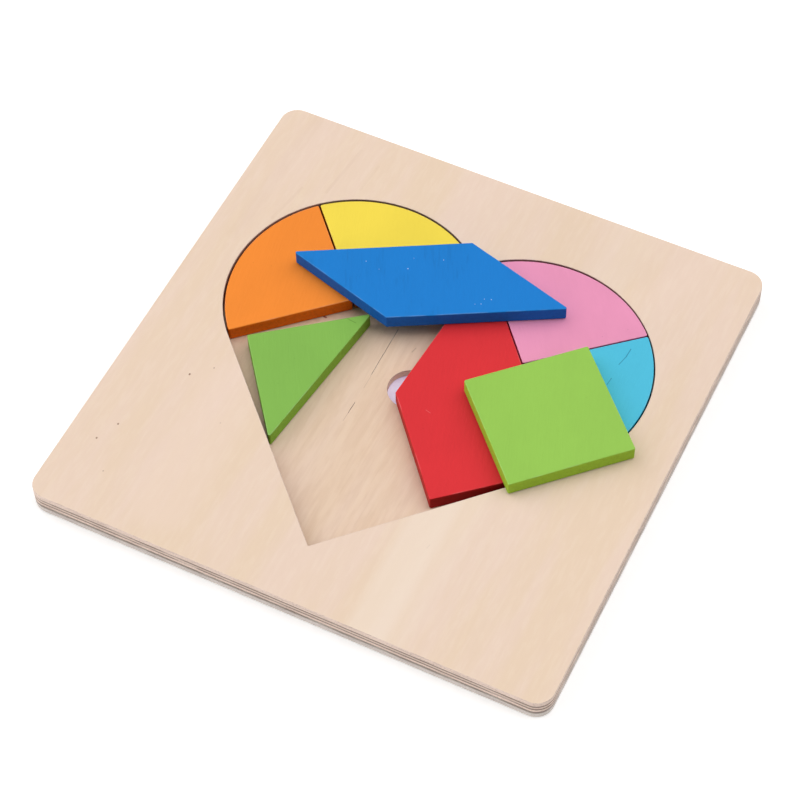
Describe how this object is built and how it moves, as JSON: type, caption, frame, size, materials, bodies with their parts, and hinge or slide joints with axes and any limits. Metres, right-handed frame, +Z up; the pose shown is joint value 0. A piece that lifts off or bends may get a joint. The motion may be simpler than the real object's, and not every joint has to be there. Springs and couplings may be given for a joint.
{
  "type": "wooden shape puzzle",
  "caption": "Square plywood tray with a heart-shaped recess, a finger hole and loose flat painted pieces that fill the heart: quarter circles, square, triangle, trapezoid and parallelogram.",
  "frame": {"origin": "centre of the tray's underside, on the surface that it lies on", "axes": "+Z up out of the recess; -Y from the tray's centre towards the heart's tip and the front edge; +X to the right, seen from above with the tip towards the viewer"},
  "size_m": [0.18, 0.18, 0.0141],
  "materials": {
    "frame_ply": "sanded bare basswood plywood",
    "backing_ply": "sanded bare basswood plywood",
    "orange_paint": "satin orange paint on wood",
    "yellow_paint": "satin yellow paint on wood",
    "pink_paint": "satin pink paint on wood",
    "cyan_paint": "satin light blue paint on wood",
    "red_paint": "satin red paint on wood",
    "blue_paint": "satin blue paint on wood",
    "lime_paint": "satin yellow-green paint on wood",
    "green_paint": "satin green paint on wood"
  },
  "bodies": {
    "tray": {"frame_board": "frame_ply", "backing_board": "backing_ply"},
    "pink": {"pink_quarter": "pink_paint"},
    "orange": {"orange_quarter": "orange_paint"},
    "yellow": {"yellow_quarter": "yellow_paint"},
    "blue": {"blue_parallelogram": "blue_paint"},
    "cyan": {"cyan_quarter": "cyan_paint"},
    "lime": {"lime_square": "lime_paint"},
    "green": {"green_triangle": "green_paint"},
    "red": {"red_trapezoid": "red_paint"}
  },
  "joints": [
    {"name": "pink_lift", "type": "slide", "parent": "tray", "child": "pink", "axis": [0, 0, 1], "range_m": [0, 0.02]},
    {"name": "orange_lift", "type": "slide", "parent": "tray", "child": "orange", "axis": [0, 0, 1], "range_m": [0, 0.02]},
    {"name": "yellow_lift", "type": "slide", "parent": "tray", "child": "yellow", "axis": [0, 0, 1], "range_m": [0, 0.02]},
    {"name": "blue_lift", "type": "slide", "parent": "pink", "child": "blue", "axis": [0, 0, 1], "range_m": [0, 0.03]},
    {"name": "cyan_lift", "type": "slide", "parent": "tray", "child": "cyan", "axis": [0, 0, 1], "range_m": [0, 0.02]},
    {"name": "square_lift", "type": "slide", "parent": "cyan", "child": "lime", "axis": [0, 0, 1], "range_m": [0, 0.03]},
    {"name": "triangle_lift", "type": "slide", "parent": "tray", "child": "green", "axis": [0, 0, 1], "range_m": [0, 0.02]},
    {"name": "red_slide", "type": "slide", "parent": "tray", "child": "red", "axis": [-0.7071, -0.7071, 0], "range_m": [0, 0.034]}
  ],
  "couplings": [
    {"joint": "orange_lift", "follows": "pink_lift", "ratio": 1},
    {"joint": "yellow_lift", "follows": "pink_lift", "ratio": 1},
    {"joint": "triangle_lift", "follows": "pink_lift", "ratio": 1}
  ]
}
